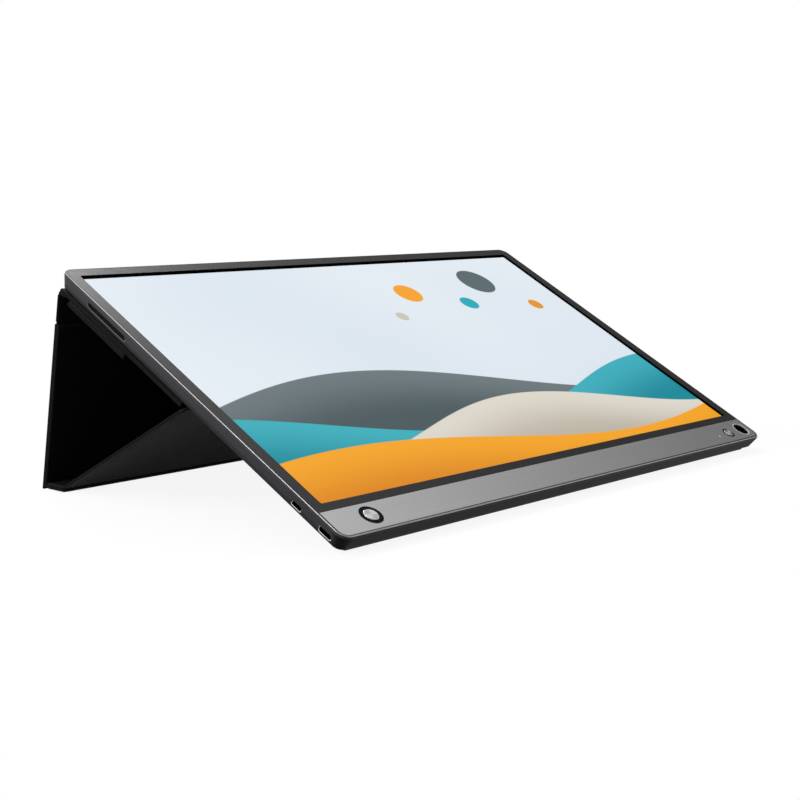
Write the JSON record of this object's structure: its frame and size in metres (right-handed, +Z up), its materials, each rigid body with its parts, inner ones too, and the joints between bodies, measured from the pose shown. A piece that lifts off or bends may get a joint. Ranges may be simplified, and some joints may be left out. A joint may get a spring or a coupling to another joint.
{
  "type": "portable monitor with folding cover",
  "caption": "Slim portable touch monitor leaning back on its folding cover, which makes a triangular stand behind it and folds over the screen.",
  "frame": {"origin": "middle of the part on the table that it stands on", "axes": "+X along the screen's width to the right as the user sees it, -Y towards the user, +Z up"},
  "size_m": [0.3596, 0.2254, 0.1162],
  "materials": {
    "shell": "satin",
    "trim": "polished",
    "frame": "fine grain",
    "chin": "brushed",
    "glass": "gloss",
    "screen": "lit",
    "panel_inner": "satin",
    "ring": "gloss",
    "cap": "spun",
    "light": "gloss",
    "socket": "satin",
    "mesh": "matte",
    "inner_plastic": "matte",
    "circuit": "satin",
    "ribbon": "satin",
    "magnet": "satin",
    "foot": "matte",
    "cover_outer": "matte",
    "cover_inner": "matte",
    "stiffener": "matte"
  },
  "bodies": {
    "monitor": {"rear_shell": "shell", "edge_trim": "trim", "front_frame": "frame", "chin_plate": "chin", "touch_glass": "glass", "lcd_panel": "screen", "backlight_module": "panel_inner", "support_plate": "panel_inner", "power_button_ring": "ring", "power_switch": "inner_plastic", "menu_button_ring": "ring", "menu_switch": "inner_plastic", "status_light": "light", "pen_bush": "ring", "usb_c_socket": "socket", "hdmi_socket": "socket", "speaker_mesh_left": "mesh", "speaker_mesh_right": "mesh", "speaker_left": "inner_plastic", "speaker_right": "inner_plastic", "main_board": "circuit", "board_shield": "socket", "key_board": "circuit", "battery_pack": "inner_plastic", "panel_ribbon": "ribbon", "rear_magnets": "magnet", "rubber_strip": "foot", "cover_magnet_bar": "cover_outer", "cover_bar_magnets": "magnet", "cover_back_skin": "cover_outer", "cover_back_board": "stiffener", "cover_back_lining": "cover_inner"},
    "power_button": {"power_button_cap": "cap"},
    "menu_button": {"menu_button_cap": "cap"},
    "spine": {"cover_spine_skin": "cover_outer", "cover_spine_lining": "cover_inner"},
    "leg": {"cover_leg_skin": "cover_outer", "cover_leg_board": "stiffener", "cover_leg_lining": "cover_inner"},
    "floor_strip": {"cover_floor_skin": "cover_outer", "cover_floor_board": "stiffener", "cover_floor_lining": "cover_inner"},
    "prop": {"cover_prop_skin": "cover_outer", "cover_prop_board": "stiffener", "cover_prop_lining": "cover_inner", "cover_prop_magnets": "magnet"}
  },
  "joints": [
    {"name": "cover_swing", "type": "hinge", "parent": "monitor", "child": "spine", "pos_m": [0, 0.0911, 0.10528], "axis": [1, 0, 0], "range_deg": [0, 173.9]},
    {"name": "spine_fold", "type": "hinge", "parent": "spine", "child": "leg", "pos_m": [0, 0.09399, 0.09015], "axis": [1, 0, 0], "range_deg": [0, 113.7]},
    {"name": "foot_fold", "type": "hinge", "parent": "leg", "child": "floor_strip", "pos_m": [0, 0.11083, 0.0019], "axis": [1, 0, 0], "range_deg": [0, 100.8]},
    {"name": "toe_fold", "type": "hinge", "parent": "floor_strip", "child": "prop", "pos_m": [0, 0.09473, 0.0019], "axis": [1, 0, 0], "range_deg": [0, 27.1]},
    {"name": "power_button_press", "type": "slide", "parent": "monitor", "child": "power_button", "axis": [0, 0.4772, -0.8788], "range_m": [0, 0.0005], "stiffness_N_per_m": 1500},
    {"name": "menu_button_press", "type": "slide", "parent": "monitor", "child": "menu_button", "axis": [0, 0.4772, -0.8788], "range_m": [0, 0.0005], "stiffness_N_per_m": 1500}
  ]
}
